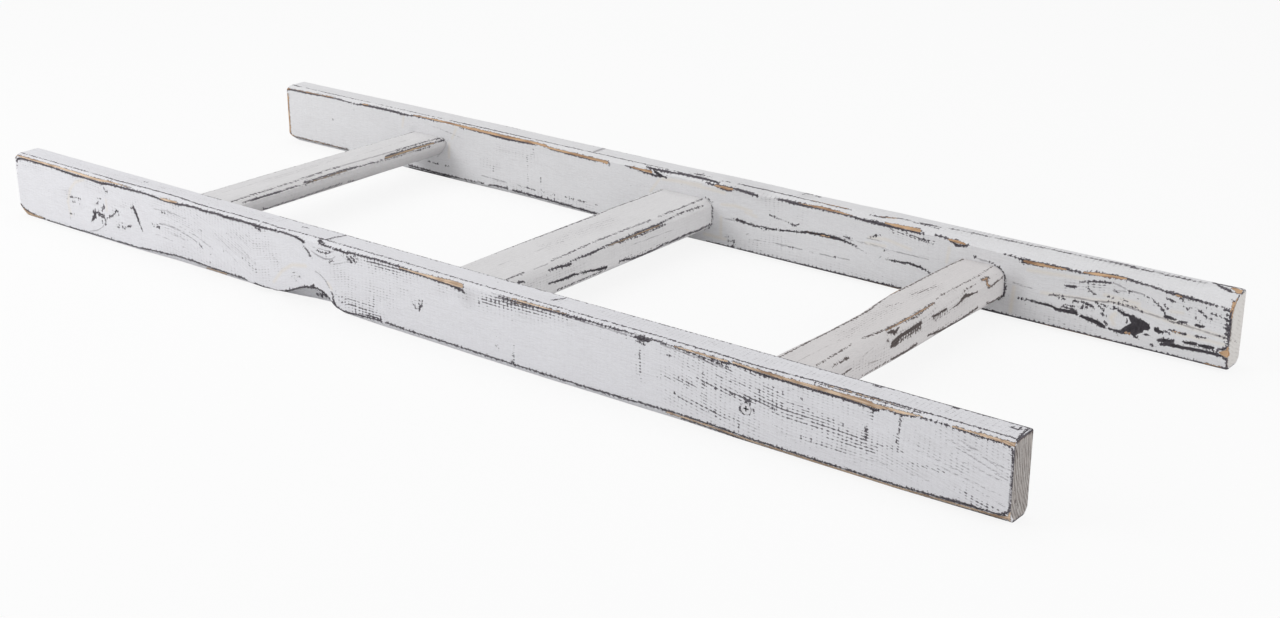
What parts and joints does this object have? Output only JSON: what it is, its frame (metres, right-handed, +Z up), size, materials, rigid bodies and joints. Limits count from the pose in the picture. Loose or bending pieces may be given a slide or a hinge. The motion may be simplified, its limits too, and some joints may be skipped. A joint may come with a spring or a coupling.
{
  "type": "decorative ladder",
  "caption": "Rustic decorative ladder of white-painted wood: bevelled plank rails screwed to flat rungs, for leaning on a wall or hanging, to carry blankets and towels.",
  "frame": {"origin": "centre of the footprint, on the surface that the rails lie on", "axes": "+X along the rails, +Y along the rungs from the front rail to the back rail, +Z up from the lower edges of the rails"},
  "size_m": [1.21, 0.41, 0.07],
  "materials": {
    "painted_wood": "chalky white paint, rubbed through to a charcoal undercoat and bare pine along the arrises",
    "painted_screw": "steel wood screw with its head painted over"
  },
  "bodies": {
    "root": {"front_rail": "painted_wood", "back_rail": "painted_wood", "left_rung": "painted_wood", "middle_rung": "painted_wood", "right_rung": "painted_wood", "left_front_screw": "painted_screw", "middle_front_screw": "painted_screw", "right_front_screw": "painted_screw", "left_back_screw": "painted_screw", "middle_back_screw": "painted_screw", "right_back_screw": "painted_screw"}
  },
  "joints": []
}
